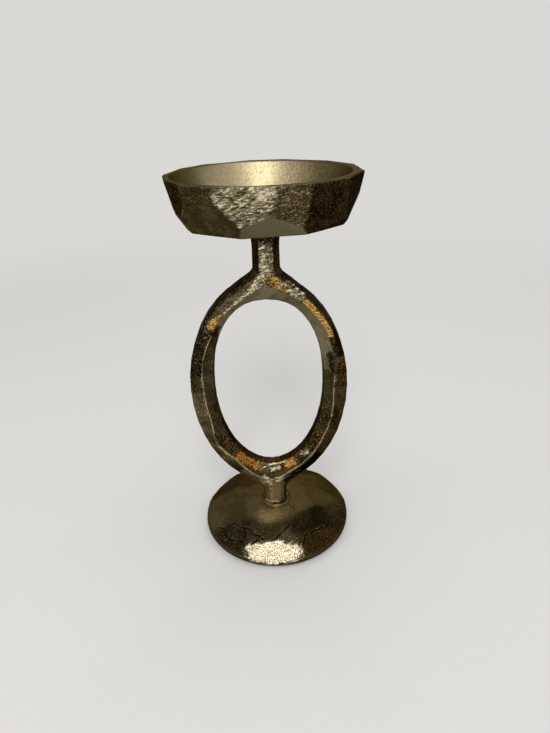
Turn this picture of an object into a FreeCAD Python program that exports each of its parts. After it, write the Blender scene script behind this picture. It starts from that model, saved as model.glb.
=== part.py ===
"""Holder for one pillar candle: a faceted bowl on an open oval ring, on a low domed foot.

Millimetres, +Z up. The origin is the centre of the foot, on the surface that it stands on.
The ring faces -Y, so the opening runs through along Y. Three rough castings are held
together by a countersunk screw from inside the bowl and a bolt from beneath the foot.
"""
import FreeCAD, Part
import math
import os

# Foot pads
pad_thickness = 1.0
pad_radius = 4.5
pad_count = 4
pad_inset = 6.0              # from the foot's edge to a pad's centre

# Domed foot
foot_radius = 46.9
foot_edge_thickness = 1.9    # upright edge under the dome
dome_rise = 11.0             # from the edge to the crown
foot_wall = 3.3              # casting's wall over the hollow
foot_border_width = 12.0     # solid border around the hollow underside
boss_radius = 8.5            # low round boss that carries the stem
boss_height = 0.9
boss_slope_width = 0.9
bolt_seat_thickness = 5.0    # from the bolt's washer up to the stem
bolt_seat_radius = 8.2

# Lower and upper stem, both with eight sides
lower_stem_length = 15.2     # from the boss to the lowest point of the oval
lower_stem_half_width = 7.0
lower_stem_half_depth = 6.8
upper_stem_length = 28.5     # from the highest point of the oval to the bowl
upper_stem_half_width = 7.0
upper_stem_half_depth = 6.9
stem_front_half_width = 3.4  # of the flat front and back, between the cut corners
stem_side_half_depth = 3.2   # of the flat sides
stem_shift = -0.6            # both stems stand a little to the left of the bolts

# Oval ring, measured from its centre to its outer outline
ring_half_width = 45.9
ring_upper_height = 66.0
ring_lower_height = 70.0
ring_half_depth = 7.5
ring_shift = -1.7            # the oval hangs a little to the left of the stems
limb_side_width = 13.9       # metal between the opening and the outer outline
limb_top_width = 11.5
limb_bottom_width = 14.4
opening_wall_half_width = 3.5
flare_height = 11.0          # where the stems spread into the oval
flare_sink = 6.0             # how far a flare's root reaches into the oval
upper_flare_bevel = 2.6      # width of the cut corners where the upper flare ends
lower_flare_front_half_width = 5.0

# Bowl
rim_radius = 49.6            # to the corners between the facets
bowl_height = 25.5
lip_width = 2.0              # at the flattest facet
bowl_wall = 1.8              # beside the top of the cup's round corner
bowl_floor_thickness = 5.0
cup_corner_radius = 12.0     # between the cup's wall and its floor
cup_shift = -1.6             # the cup stands a little to the left of the outside

# Screw in the bowl
screw_radius = 2.5
screw_length = 16.0
screw_head_radius = 4.65
screw_head_height = 2.7
screw_head_sink = 0.2        # below the cup's floor
screw_slot_width = 1.2
screw_slot_length = 5.4
screw_slot_depth = 1.5

# Bolt in the foot, with its washers
bolt_radius = 2.5
bolt_length = 16.0
bolt_head_width = 8.0        # across the flats
bolt_head_height = 3.5
bolt_head_sides = 6
flat_washer_radius = 5.0
flat_washer_thickness = 1.0
lock_washer_radius = 4.6
lock_washer_thickness = 1.2
lock_washer_gap = 1.0

# Fits
thread_clearance = 0.05      # between a thread's crests and the wall of its hole
through_clearance = 0.25     # around a screw that passes a hole
head_clearance = 0.1
hole_end_space = 3.0         # left beyond the end of a screw
overrun = 2.0                # how far a cut runs past the surface that it opens

# Facets of the bowl: compass angle from the front towards the right in degrees, then the
# distance from the axis at the rim and at the underside, as shares of the rim's radius.
bowl_facet_shares = (
    (-79, 0.990, 0.866),
    (-58, 0.994, 0.872),
    (-38, 0.986, 0.824),
    (-7, 0.950, 0.735),
    (17, 0.973, 0.679),
    (37, 0.962, 0.690),
    (65, 0.968, 0.832),
    (92, 0.966, 0.885),
    (121, 0.980, 0.810),
    (149, 0.966, 0.760),
    (178, 0.982, 0.830),
    (206, 0.964, 0.745),
    (233, 0.985, 0.850),
    (257, 0.978, 0.800),
    (-69, 1.110, 0.798),
    (-32, 1.048, 0.686),
    (8, 1.090, 0.621),
    (43, 1.226, 0.686),
    (88, 1.060, 0.785),
    (131, 1.100, 0.690),
    (172, 1.140, 0.660),
    (213, 1.080, 0.700),
    (252, 1.090, 0.670),
)

# Facets of the dome: compass angle in degrees, where the facet touches the round dome as
# a share of the foot's radius, and how far it is lifted off it as a share of the rise.
dome_facet_shares = (
    (-4, 0.88, 0.000),
    (37, 0.88, 0.000),
    (76, 0.86, 0.004),
    (116, 0.85, 0.000),
    (157, 0.87, 0.006),
    (198, 0.85, 0.000),
    (238, 0.87, 0.004),
    (278, 0.85, 0.000),
    (318, 0.90, 0.003),
    (-25, 0.66, 0.020),
    (-8, 0.62, 0.012),
    (8, 0.70, 0.032),
    (36, 0.58, 0.004),
    (62, 0.64, 0.012),
    (96, 0.58, 0.000),
    (134, 0.60, 0.006),
    (176, 0.62, 0.000),
    (216, 0.58, 0.008),
    (256, 0.62, 0.004),
    (288, 0.57, 0.010),
    (313, 0.70, 0.016),
    (-15, 0.34, 0.000),
    (30, 0.32, 0.006),
    (80, 0.34, 0.000),
    (130, 0.30, 0.004),
    (185, 0.33, 0.000),
    (240, 0.31, 0.006),
    (300, 0.33, 0.000),
)

# Places around the oval, clockwise from the top as seen from the front. Each line holds
# the two edges of the front face, as shares of the limb's width from the opening
# outwards, and the depth there as a share of the ring's half depth.
ring_facet_shares = (
    (0.73, 0.92, 0.98),
    (0.52, 0.86, 1.00),
    (0.46, 0.86, 0.97),
    (0.55, 0.84, 1.02),
    (0.52, 0.70, 1.00),
    (0.40, 0.46, 0.96),
    (0.47, 0.51, 1.01),
    (0.43, 0.48, 0.98),
    (0.40, 0.47, 1.03),
    (0.42, 0.50, 0.99),
    (0.67, 0.78, 1.00),
    (0.52, 0.59, 0.98),
    (0.33, 0.40, 1.02),
    (0.57, 0.62, 0.99),
    (0.38, 0.45, 1.00),
    (0.43, 0.49, 0.97),
    (0.50, 0.62, 1.02),
    (0.37, 0.86, 0.98),
    (0.32, 0.86, 1.01),
    (0.35, 0.86, 0.99),
)
corner_top_share = 0.6       # height of the cup's round corner, as a share of its radius
back_turn = 3                # the back repeats the front's facets, this many places on
sections_per_facet = 2       # the outlines bend once more within each facet
outer_wall_share = 0.62      # the outer wall's half width, as a share of the half depth
outer_wall_swing_share = 0.18    # wider by this at the top of the oval, narrower below
outline_power = 2.0          # 2 is an ellipse, more is fuller
opening_upper_power = 2.3
opening_lower_power = 2.0
off_plane_share = 1e-6       # four corners closer to one plane than this make one face

# A flare from its root to the stem: height and spread, as shares of the whole.
flare_shares = ((0.0, 1.0), (0.37, 0.62), (0.58, 0.36), (0.78, 0.15), (1.0, 0.03))

# Levels, from the standing surface up
foot_underside = pad_thickness
dome_edge = foot_underside + foot_edge_thickness
dome_crown = dome_edge + dome_rise
boss_top = dome_crown + boss_height
ring_bottom = boss_top + lower_stem_length
ring_centre = ring_bottom + ring_lower_height
ring_top = ring_centre + ring_upper_height
bowl_underside = ring_top + upper_stem_length
cup_floor = bowl_underside + bowl_floor_thickness
rim_level = bowl_underside + bowl_height
bolt_seat_level = boss_top - bolt_seat_thickness
station_count = len(ring_facet_shares)


def point(x, y, z):
    return FreeCAD.Vector(x, y, z)


def compass(angle):
    """Unit direction in the plan, from the front (-Y) towards the right (+X)."""
    turn = math.radians(angle)
    return FreeCAD.Vector(math.sin(turn), -math.cos(turn), 0)


def cut_above_plane(solid, place, outward, reach):
    """Removes all that lies beyond the plane through place, on the outward side."""
    side = 2 * reach
    block = Part.makeBox(side, side, side, point(-reach, -reach, 0))
    turn = FreeCAD.Rotation(FreeCAD.Vector(0, 0, 1), outward)
    block.Placement = FreeCAD.Placement(place, turn)
    return solid.cut(block)


def turned_solid(outline):
    """Solid of revolution about Z from a closed outline of (radius, height) pairs."""
    corners = [point(radius, 0, height) for radius, height in outline]
    face = Part.Face(Part.makePolygon(corners + corners[:1]))
    return face.revolve(point(0, 0, 0), FreeCAD.Vector(0, 0, 1), 360)


def upright_cylinder(radius, bottom, top):
    return Part.makeCylinder(radius, top - bottom, point(0, 0, bottom))


def facet_distance(facet, level):
    """Distance of a bowl facet from the axis at a level."""
    angle, rim_share, underside_share = facet
    along = (level - bowl_underside) / bowl_height
    return rim_radius * (underside_share + (rim_share - underside_share) * along)


def flattest_distance(level):
    """Distance from the axis of the facet that comes nearest to it at a level."""
    return min(facet_distance(facet, level) for facet in bowl_facet_shares)


def bowl_blank():
    """The outside of the bowl: a round blank with every facet cut flat."""
    blank = upright_cylinder(rim_radius, bowl_underside, rim_level)
    reach = 2 * (rim_radius + bowl_height)
    for facet in bowl_facet_shares:
        direction = compass(facet[0])
        at_rim = facet_distance(facet, rim_level)
        at_underside = facet_distance(facet, bowl_underside)
        place = direction * at_rim + point(0, 0, rim_level)
        outward = direction * bowl_height + point(0, 0, at_underside - at_rim)
        blank = cut_above_plane(blank, place, outward, reach)
    return blank


def cup():
    """The smooth inside of the bowl: a flared wall with a round corner at the floor."""
    corner_top = cup_floor + cup_corner_radius * corner_top_share
    rim = flattest_distance(rim_level) - lip_width
    waist = flattest_distance(corner_top) - bowl_wall
    lean = math.atan2(rim - waist, rim_level - corner_top)
    rise = rim_level - cup_floor
    foot = rim - rise * math.tan(lean)
    corner = math.pi / 2 - lean
    corner_radius = min(cup_corner_radius, foot / 2, rise)
    tangent = corner_radius * math.tan(corner / 2)
    floor_end = foot - tangent
    start = point(floor_end, 0, cup_floor)
    middle = point(
        floor_end + corner_radius * math.sin(corner / 2), 0,
        cup_floor + corner_radius * (1 - math.cos(corner / 2)))
    end = point(
        foot + tangent * math.sin(lean), 0, cup_floor + tangent * math.cos(lean))
    over = overrun / rise
    top = point(rim + (rim - foot) * over, 0, rim_level + overrun)
    edges = [
        Part.LineSegment(point(0, 0, cup_floor), start).toShape(),
        Part.Arc(start, middle, end).toShape(),
        Part.LineSegment(end, top).toShape(),
        Part.LineSegment(top, point(0, 0, top.z)).toShape(),
        Part.LineSegment(point(0, 0, top.z), point(0, 0, cup_floor)).toShape(),
    ]
    face = Part.Face(Part.Wire(edges))
    solid = face.revolve(point(0, 0, 0), FreeCAD.Vector(0, 0, 1), 360)
    solid.translate(point(cup_shift, 0, 0))
    return solid


def screw_profile(radius, head_radius, top, bottom):
    """Outline of a countersunk head over its shank, down to a level."""
    neck = top - screw_head_height
    return (
        (0, bottom), (radius, bottom), (radius, neck), (head_radius, top), (0, top))


def make_candle_bowl():
    body = bowl_blank().cut(cup())
    head_top = cup_floor - screw_head_sink
    sunk = turned_solid(screw_profile(
        screw_radius + through_clearance, screw_head_radius + head_clearance,
        head_top, bowl_underside - overrun))
    mouth = upright_cylinder(
        screw_head_radius + head_clearance, head_top, cup_floor + overrun)
    return body.cut(sunk).cut(mouth)


def make_bowl_screw():
    """Countersunk screw with a cross recess, its head just below the cup's floor."""
    top = cup_floor - screw_head_sink
    body = turned_solid(screw_profile(
        screw_radius, screw_head_radius, top, top - screw_length))
    for turn in (0, 90):
        slot = Part.makeBox(
            screw_slot_length, screw_slot_width, screw_slot_depth + overrun,
            point(-screw_slot_length / 2, -screw_slot_width / 2, top - screw_slot_depth))
        slot.rotate(point(0, 0, 0), FreeCAD.Vector(0, 0, 1), turn)
        body = body.cut(slot)
    return body


def oval_place(turn, half_width, upper_height, lower_height, upper_power, lower_power):
    """Place (x, z) on an oval about the ring's centre, turn measured from the top."""
    height = upper_height if math.cos(turn) >= 0 else lower_height
    power = upper_power if math.cos(turn) >= 0 else lower_power
    across = math.copysign(abs(math.sin(turn)) ** (2 / power), math.sin(turn))
    up = math.copysign(abs(math.cos(turn)) ** (2 / power), math.cos(turn))
    return ring_shift + half_width * across, ring_centre + height * up


def facet_shares_at(place):
    """Front face edges and depth at a place around the oval, between two table lines."""
    number = math.floor(place)
    here = ring_facet_shares[number % station_count]
    ahead = ring_facet_shares[(number + 1) % station_count]
    return [low + (high - low) * (place - number) for low, high in zip(here, ahead)]


def wall_half_width(turn):
    """Half the width of the outer wall: broad at the top of the oval, narrow below."""
    return ring_half_depth * (outer_wall_share + outer_wall_swing_share * math.cos(turn))


def ring_section(place):
    """The eight corners of the limb's section at one place around the oval.

    They run from the opening's wall at the front over the front face and around the
    outside to the opening's wall at the back.
    """
    turn = 2 * math.pi * place / station_count
    outer = oval_place(
        turn, ring_half_width, ring_upper_height, ring_lower_height,
        outline_power, outline_power)
    inner = oval_place(
        turn, ring_half_width - limb_side_width, ring_upper_height - limb_top_width,
        ring_lower_height - limb_bottom_width, opening_upper_power, opening_lower_power)
    front_inner, front_outer, front_depth = facet_shares_at(place)
    back_inner, back_outer, back_depth = facet_shares_at(place + back_turn)
    wall = wall_half_width(turn)

    def corner(share, depth):
        x = inner[0] + (outer[0] - inner[0]) * share
        z = inner[1] + (outer[1] - inner[1]) * share
        return point(x, depth, z)

    return [
        corner(0, -opening_wall_half_width),
        corner(front_inner, -ring_half_depth * front_depth),
        corner(front_outer, -ring_half_depth * front_depth),
        corner(1, -wall),
        corner(1, wall),
        corner(back_outer, ring_half_depth * back_depth),
        corner(back_inner, ring_half_depth * back_depth),
        corner(0, opening_wall_half_width),
    ]


def ring_sections():
    count = station_count * sections_per_facet
    return [ring_section(number / sections_per_facet) for number in range(count)]


def flat_faces(corners):
    """One flat face over four corners, or two where the corners aren't in one plane."""
    first, second, third, fourth = corners
    normal = (second - first).cross(third - first)
    normal.normalize()
    off_plane = abs((fourth - first).dot(normal))
    if off_plane < (third - first).Length * off_plane_share:
        return [Part.Face(Part.makePolygon(list(corners) + [first]))]
    return [
        Part.Face(Part.makePolygon([first, second, third, first])),
        Part.Face(Part.makePolygon([first, third, fourth, first])),
    ]


def closed_ring(sections):
    """A solid that runs once around through sections of as many corners each."""
    faces = []
    for number, here in enumerate(sections):
        ahead = sections[(number + 1) % len(sections)]
        for side in range(len(here)):
            following = (side + 1) % len(here)
            faces += flat_faces((here[side], here[following], ahead[following], ahead[side]))
    shell = Part.makeShell(faces)
    shell.sewShape()
    solid = Part.makeSolid(shell)
    if solid.Volume < 0:
        solid.reverse()
    return solid


def bevel_space(away):
    """The open space before the bevel around the opening, on the front or the back."""
    beyond = away * (ring_half_depth + overrun)
    rows = []
    for section in ring_sections():
        wall, edge = section[:2] if away < 0 else section[:-3:-1]
        rows.append([
            wall, edge, point(edge.x, beyond, edge.z), point(wall.x, beyond, wall.z)])
    return closed_ring(rows)


def eight_sided(level, centre, half_width, half_depth, front_half_width, side_half_depth):
    """A level outline with eight sides: a rectangle with its corners cut."""
    outline = []
    for across, along in ((1, 1), (-1, 1), (-1, -1), (1, -1)):
        side_end = point(centre + across * half_width, along * side_half_depth, level)
        front_end = point(centre + across * front_half_width, along * half_depth, level)
        outline += [side_end, front_end] if across * along > 0 else [front_end, side_end]
    return Part.makePolygon(outline + outline[:1])


def oval_half_width(level):
    """Half the width of the ring's outer outline at a level."""
    height = ring_upper_height if level > ring_centre else ring_lower_height
    share = (level - ring_centre) / height
    return ring_half_width * math.sqrt(1 - share ** 2)


def stem(end_level, oval_level, half_width, half_depth, root_front_half_width, turn):
    """An eight-sided stem that spreads into the oval, from its far end to its root."""
    away = 1 if end_level > oval_level else -1
    root_level = oval_level - away * flare_sink
    station = 0 if away > 0 else station_count // 2
    stem_sizes = (
        stem_shift, half_width, half_depth, stem_front_half_width, stem_side_half_depth)
    root_sizes = (
        ring_shift, oval_half_width(root_level), ring_half_depth * facet_shares_at(station)[2],
        root_front_half_width, wall_half_width(turn))
    outlines = [eight_sided(end_level, *stem_sizes)]
    for height_share, spread_share in reversed(flare_shares):
        sizes = [
            thin + (wide - thin) * spread_share for thin, wide in zip(stem_sizes, root_sizes)]
        outlines.append(eight_sided(
            root_level + away * flare_height * height_share, *sizes))
    return Part.makeLoft(outlines, True, True)


def make_ring_stem():
    """The casting: the oval ring with both stems, drilled for the screw and the bolt."""
    upper_root_front = oval_half_width(ring_top - flare_sink) - upper_flare_bevel
    upper = stem(
        bowl_underside, ring_top, upper_stem_half_width, upper_stem_half_depth,
        upper_root_front, 0)
    lower = stem(
        boss_top, ring_bottom, lower_stem_half_width, lower_stem_half_depth,
        lower_flare_front_half_width, math.pi)
    stems = upper.fuse(lower).cut([bevel_space(-1), bevel_space(1)])
    body = closed_ring(ring_sections()).fuse(stems).removeSplitter()
    screw_end = cup_floor - screw_head_sink - screw_length
    bolt_end = lock_washer_level() + bolt_length
    screw_hole = upright_cylinder(
        screw_radius + thread_clearance, screw_end - hole_end_space,
        bowl_underside + overrun)
    bolt_hole = upright_cylinder(
        bolt_radius + thread_clearance, boss_top - overrun, bolt_end + hole_end_space)
    return body.cut(screw_hole).cut(bolt_hole)


def dome_ball_radius():
    """Radius of the sphere that the round dome is a part of."""
    return (foot_radius ** 2 + dome_rise ** 2) / (2 * dome_rise)


def dome_height(radius):
    """Level of the round dome at a distance from the axis."""
    ball_radius = dome_ball_radius()
    return dome_crown - ball_radius + math.sqrt(ball_radius ** 2 - radius ** 2)


def dome_blank():
    """The outside of the foot: a round blank cut by planes that touch the dome."""
    centre = point(0, 0, dome_crown - dome_ball_radius())
    blank = upright_cylinder(foot_radius, foot_underside, dome_crown)
    for angle, radius_share, lift_share in dome_facet_shares:
        radius = foot_radius * radius_share
        touch = compass(angle) * radius + point(0, 0, dome_height(radius))
        lifted = touch + point(0, 0, dome_rise * lift_share)
        blank = cut_above_plane(blank, lifted, touch - centre, 2 * foot_radius)
    return blank


def foot_hollow():
    """The space under the dome, which follows it at the casting's wall."""
    hollow_radius = foot_radius - foot_border_width
    ceiling = dome_crown - foot_wall
    side = dome_height(hollow_radius) - foot_wall
    middle_radius = (hollow_radius + bolt_seat_radius) / 2
    middle = dome_height(middle_radius) - foot_wall
    return turned_solid((
        (0, foot_underside - overrun), (hollow_radius, foot_underside - overrun),
        (hollow_radius, side), (middle_radius, middle),
        (bolt_seat_radius, dome_height(bolt_seat_radius) - foot_wall), (0, ceiling)))


def make_base():
    boss = turned_solid((
        (0, dome_crown - boss_height), (boss_radius + boss_slope_width, dome_crown - boss_height),
        (boss_radius, boss_top), (0, boss_top)))
    seat = upright_cylinder(bolt_seat_radius, bolt_seat_level, dome_crown)
    body = dome_blank().fuse(boss).cut(foot_hollow()).fuse(seat)
    hole = upright_cylinder(
        bolt_radius + through_clearance, bolt_seat_level - overrun, boss_top + overrun)
    return body.cut(hole)


def lock_washer_level():
    """Underside of the lock washer, where the bolt's head ends and its shank begins."""
    return bolt_seat_level - flat_washer_thickness - lock_washer_thickness


def make_base_bolt():
    """Hexagon bolt, its head down and the rim of the head bevelled."""
    head_top = lock_washer_level()
    head_bottom = head_top - bolt_head_height
    corner_radius = bolt_head_width / 2 / math.cos(math.pi / bolt_head_sides)
    corners = [
        compass(360 * number / bolt_head_sides) * corner_radius + point(0, 0, head_bottom)
        for number in range(bolt_head_sides)]
    head = Part.Face(Part.makePolygon(corners + corners[:1])).extrude(
        point(0, 0, bolt_head_height))
    bevel = corner_radius - bolt_head_width / 2
    head = head.common(turned_solid((
        (0, head_bottom), (bolt_head_width / 2, head_bottom),
        (corner_radius, head_bottom + bevel), (corner_radius, head_top), (0, head_top))))
    shank = upright_cylinder(bolt_radius, head_top, head_top + bolt_length)
    return head.fuse(shank).removeSplitter()


def washer(radius, bottom, thickness):
    body = upright_cylinder(radius, bottom, bottom + thickness)
    hole = upright_cylinder(
        bolt_radius + through_clearance, bottom - overrun, bottom + thickness + overrun)
    return body.cut(hole)


def make_flat_washer():
    return washer(
        flat_washer_radius, bolt_seat_level - flat_washer_thickness, flat_washer_thickness)


def make_lock_washer():
    """Spring washer, pressed flat, with its slanted split."""
    body = washer(lock_washer_radius, lock_washer_level(), lock_washer_thickness)
    slant = lock_washer_thickness / 2
    bottom = lock_washer_level() - overrun
    height = lock_washer_thickness + 2 * overrun
    lean = slant * height / lock_washer_thickness
    corners = [
        point(-lock_washer_gap / 2 - lean / 2, 0, bottom),
        point(lock_washer_gap / 2 - lean / 2, 0, bottom),
        point(lock_washer_gap / 2 + lean / 2, 0, bottom + height),
        point(-lock_washer_gap / 2 + lean / 2, 0, bottom + height),
    ]
    split = Part.Face(Part.makePolygon(corners + corners[:1])).extrude(
        point(0, lock_washer_radius + overrun, 0))
    return body.cut(split)


def make_felt_pad(number):
    direction = compass(360 * (number + 0.5) / pad_count)
    pad = upright_cylinder(pad_radius, 0, pad_thickness)
    pad.translate(direction * (foot_radius - pad_inset))
    return pad


def make_parts():
    parts = {
        "candle_bowl": make_candle_bowl(),
        "bowl_screw": make_bowl_screw(),
        "ring_stem": make_ring_stem(),
        "base": make_base(),
        "base_bolt": make_base_bolt(),
        "flat_washer": make_flat_washer(),
        "lock_washer": make_lock_washer(),
    }
    for number in range(pad_count):
        parts["felt_pad_%d" % (number + 1)] = make_felt_pad(number)
    return parts


def main():
    os.makedirs("parts", exist_ok=True)
    for name, shape in make_parts().items():
        shape.exportStep("parts/%s.step" % name)
        box = shape.BoundBox
        print(
            "%-14s solids %d valid %s volume %9.1f  x %6.1f..%6.1f  y %6.1f..%6.1f  z %6.1f..%6.1f"
            % (name, len(shape.Solids), shape.isValid(), shape.Volume, box.XMin, box.XMax,
               box.YMin, box.YMax, box.ZMin, box.ZMax))


main()
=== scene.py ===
"""Looks of the candle holder: three rough castings in dark antique brass, steel fixings, felt pads.

Metres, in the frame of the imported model: +Z up, the ring faces -Y, the foot stands on z = 0.
"""

import math

import bmesh
import bpy
import numpy as np
from mathutils import Matrix, Vector, noise
from mathutils.bvhtree import BVHTree
from mathutils.kdtree import KDTree


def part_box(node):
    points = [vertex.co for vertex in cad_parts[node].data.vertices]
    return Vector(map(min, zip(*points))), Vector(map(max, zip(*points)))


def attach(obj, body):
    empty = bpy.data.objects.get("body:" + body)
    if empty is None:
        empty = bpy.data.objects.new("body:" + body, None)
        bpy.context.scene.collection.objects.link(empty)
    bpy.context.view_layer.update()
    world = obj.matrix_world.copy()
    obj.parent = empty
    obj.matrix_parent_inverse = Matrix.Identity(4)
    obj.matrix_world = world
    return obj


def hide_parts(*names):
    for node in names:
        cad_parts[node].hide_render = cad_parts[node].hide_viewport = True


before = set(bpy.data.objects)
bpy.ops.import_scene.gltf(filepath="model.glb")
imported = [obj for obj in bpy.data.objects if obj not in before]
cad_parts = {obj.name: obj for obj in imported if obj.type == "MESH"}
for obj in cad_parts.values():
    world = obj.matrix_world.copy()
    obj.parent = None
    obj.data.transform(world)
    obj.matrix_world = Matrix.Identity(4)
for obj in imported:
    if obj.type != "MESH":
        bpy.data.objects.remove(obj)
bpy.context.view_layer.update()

mm = 0.001

# Levels and sizes that the frame gives
bowl_low, bowl_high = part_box("candle_bowl")
ring_low, ring_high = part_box("ring_stem")
base_low, base_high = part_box("base")
rim_level = bowl_high.z
bowl_underside = bowl_low.z
foot_top = base_high.z

# The cup, as cast: its wall stands inside this cone, over a flat floor
cup_floor_thickness = 5.0 * mm
cup_floor = bowl_underside + cup_floor_thickness
cup_rim_radius = 45.1 * mm
cup_slope = math.tan(math.radians(25.5))
cup_shift = -1.6 * mm
# Over these spans, from none to all, the cup's finish begins: outwards from its wall, by how
# far a face looks up, and upwards below its floor. The lip's finish has spans of its own.
cup_wall_span = (0.9 * mm, 0.3 * mm)
cup_facing_span = (-0.10, 0.10)
cup_floor_span = (-1.2 * mm, -0.4 * mm)
lip_level_span = (-0.9 * mm, -0.35 * mm)
lip_facing_span = (0.35, 0.75)
extra_smooth_below_rim = 2 * mm

# Meshes
bowl_voxel = 0.56 * mm
ring_voxel = 0.49 * mm
base_voxel = 0.46 * mm
hardware_voxel = 0.16 * mm
felt_voxel = 0.3 * mm
smoothing_weight = 0.6        # how far one round of smoothing moves a point
casting_rounding = 3          # rounds of smoothing that take the edge off the facets
bowl_rounding = 6
cup_rounding = 30             # more rounds inside the cup, which is smooth
hardware_rounding = 4
felt_rounding = 6
felt_lift = 0.01 * mm         # the pads' fibres end just above the floor
bowl_blend = 8                # rounds that soften the tones from one facet to the next
ring_blend = 2
base_blend = 24
facet_tolerance = math.cos(math.radians(5))
weld_distance = 0.001 * mm
least_edge_angle = math.radians(10)
full_edge_angle = math.radians(32)
edge_step = 0.25 * mm
line_reach = 2.0 * mm         # how far from a line its value still counts
level_face = 0.5              # a face that looks less than this to the front is a side
foot_flare = 0.9 * mm         # the lower stem spreads a little where it stands on the foot
flare_height = 1.7 * mm
top_flare = 0.9 * mm          # the upper stem spreads a little under the bowl
top_flare_height = 13 * mm
flare_span = (3.5 * mm, 5.5 * mm)   # how far from the middle the spread begins

# Relief of the skins, in layers: width of the lumps, height, seed
casting_waves = ((13 * mm, 0.14 * mm, 1), (5 * mm, 0.08 * mm, 2))
casting_grain = ((2.0 * mm, 0.06 * mm, 3), (1.2 * mm, 0.06 * mm, 4))
felt_fuzz = ((0.9 * mm, 0.05 * mm, 21), (0.45 * mm, 0.05 * mm, 22))
# The wrinkles stand where the castings are rubbed bright and where highlights are painted.
rib_height = 0.42 * mm        # of the wrinkles where the castings are rubbed bright
least_wave_share = 0.4        # of the waves where a casting is smoothest
least_grain_share = 0.35
vein_depth = 0.25 * mm
vein_span = (0.45, 0.9)       # from where to where a crack sinks to its full depth
calm_end = 1.5 * mm           # the ring's relief fades this near to its two ends
base_relief = 0.7
base_under_span = (0.2 * mm, 1.0 * mm)     # up from the foot's lower edge
base_mating_span = (-0.1 * mm, -0.8 * mm)  # down from the top of its boss
# The bright patches on the foot are a painted highlight.
base_top_span = (0.3, 0.7)    # how far up a face of the foot looks that takes bright patches
cup_calm = 0.95               # how much of the relief the cup and the lip lose
cup_ripple_relief = 0.4       # how much of it the ripples give back

# Layers that break up the edges of patches, then the waver of the cracks and the wrinkles
ragged_layers = ((3.0 * mm, 0.5, 11), (1.1 * mm, 0.4, 12))
ragged_share = 0.6
crack_waver_width = 2.5 * mm
crack_waver = 0.7 * mm
crack_waver_seeds = (31, 32, 33)
wrinkle_waver_width = 6 * mm
wrinkle_waver = 1.4 * mm
wrinkle_tilt = -0.22
wrinkle_width = 1.7 * mm
wrinkle_stretch = (2.0, 2.0, 0.8)

# The ring's own middle, round which its facets are told apart, and half the width and
# the height of the oval through the middle of its metal
ring_middle = Vector(((ring_low.x + ring_high.x) / 2, 0, 105 * mm))
oval_half_width = 37.5 * mm
oval_half_height = 55 * mm
upper_stem_level = 167.5 * mm
lower_stem_level = 36 * mm
worn_stem_level = 46 * mm
stem_front = 0.95             # a face of the upper stem that looks this far ahead is its front
behind_from = 0.05            # a face that looks backwards more than this is on the back
inner_slant = -0.28           # beyond these slants a facet belongs to the inner or outer row
outer_slant = 0.28
side_edge_share = 0.2         # wear on the edges of the ring's sides
stem_edge_share = 0.9         # the same where the ring runs into the lower stem

# Where the ring's ridges are rubbed bright: angles clockwise from the top, in degrees
left_ridge_span = (-38, -50)
right_ridge_span = (74, 86)
plain_outer_row = (-82, 90)
plain_left_face = (-86, -38)
plain_left_reach = 1.03       # beyond this share of the oval

# Camera, as in the photograph
camera_place = Vector((0.0, -0.2736, 0.2538))
camera_pitch = math.radians(27.42)
camera_yaw = math.radians(0.46)
camera_roll = math.radians(-2.03)
camera_lens = 25.95
camera_sensor = 36.0


def new_mesh_object(name, mesh):
    piece = bpy.data.objects.new(name, mesh)
    bpy.context.scene.collection.objects.link(piece)
    return piece


def remeshed(node, name, voxel):
    """A new piece in the shape of a CAD node, in small even faces."""
    rough = new_mesh_object(name + "_rough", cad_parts[node].data.copy())
    rough.data.materials.clear()
    modifier = rough.modifiers.new("remesh", "REMESH")
    modifier.mode = "VOXEL"
    modifier.voxel_size = voxel
    graph = bpy.context.evaluated_depsgraph_get()
    mesh = bpy.data.meshes.new_from_object(rough.evaluated_get(graph))
    mesh.name = name
    bpy.data.objects.remove(rough)
    mesh.polygons.foreach_set("use_smooth", [True] * len(mesh.polygons))
    return new_mesh_object(name, mesh)


def read_points(mesh):
    points = np.empty(len(mesh.vertices) * 3, np.float32)
    mesh.vertices.foreach_get("co", points)
    return points.reshape(-1, 3).astype(float)


def write_points(mesh, points):
    mesh.vertices.foreach_set("co", points.astype(np.float32).ravel())
    mesh.update()


def read_normals(mesh):
    normals = np.empty(len(mesh.vertices) * 3, np.float32)
    mesh.vertex_normals.foreach_get("vector", normals)
    return normals.reshape(-1, 3).astype(float)


def edge_pairs(mesh):
    pairs = np.empty(len(mesh.edges) * 2, np.int32)
    mesh.edges.foreach_get("vertices", pairs)
    return pairs.reshape(-1, 2)


def store(mesh, name, values):
    """Keeps one number per point, which a material reads by name."""
    layer = mesh.attributes.new(name, "FLOAT", "POINT")
    layer.data.foreach_set("value", np.asarray(values, np.float32))


def relaxed(points, pairs, rounds, weight=smoothing_weight):
    """Points drawn towards the middle of their neighbours, a number of times over."""
    first, second = pairs.T
    size = len(points)
    neighbours = np.bincount(pairs.ravel(), minlength=size)
    for _ in range(rounds):
        middle = np.stack([
            (np.bincount(first, points[second, axis], size)
             + np.bincount(second, points[first, axis], size)) / neighbours
            for axis in range(points.shape[1])], axis=1)
        points = points + (middle - points) * np.reshape(weight, (-1, 1))
    return points


def smooth_step(low, high, values):
    share = np.clip((values - low) / (high - low), 0, 1)
    return share * share * (3 - 2 * share)


def lumps(points, size, seed, stretch=(1, 1, 1)):
    """Soft noise from about -1 to 1, with lumps as wide as size, stretched along an axis."""
    scaled = points / (size * np.array(stretch)) + seed * 7.31
    return np.array([noise.noise(place) for place in scaled])


def layered(points, layers):
    """Sum of layers of lumps: width, height and seed of each."""
    return sum(lumps(points, width, seed) * height for width, height, seed in layers)


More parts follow.
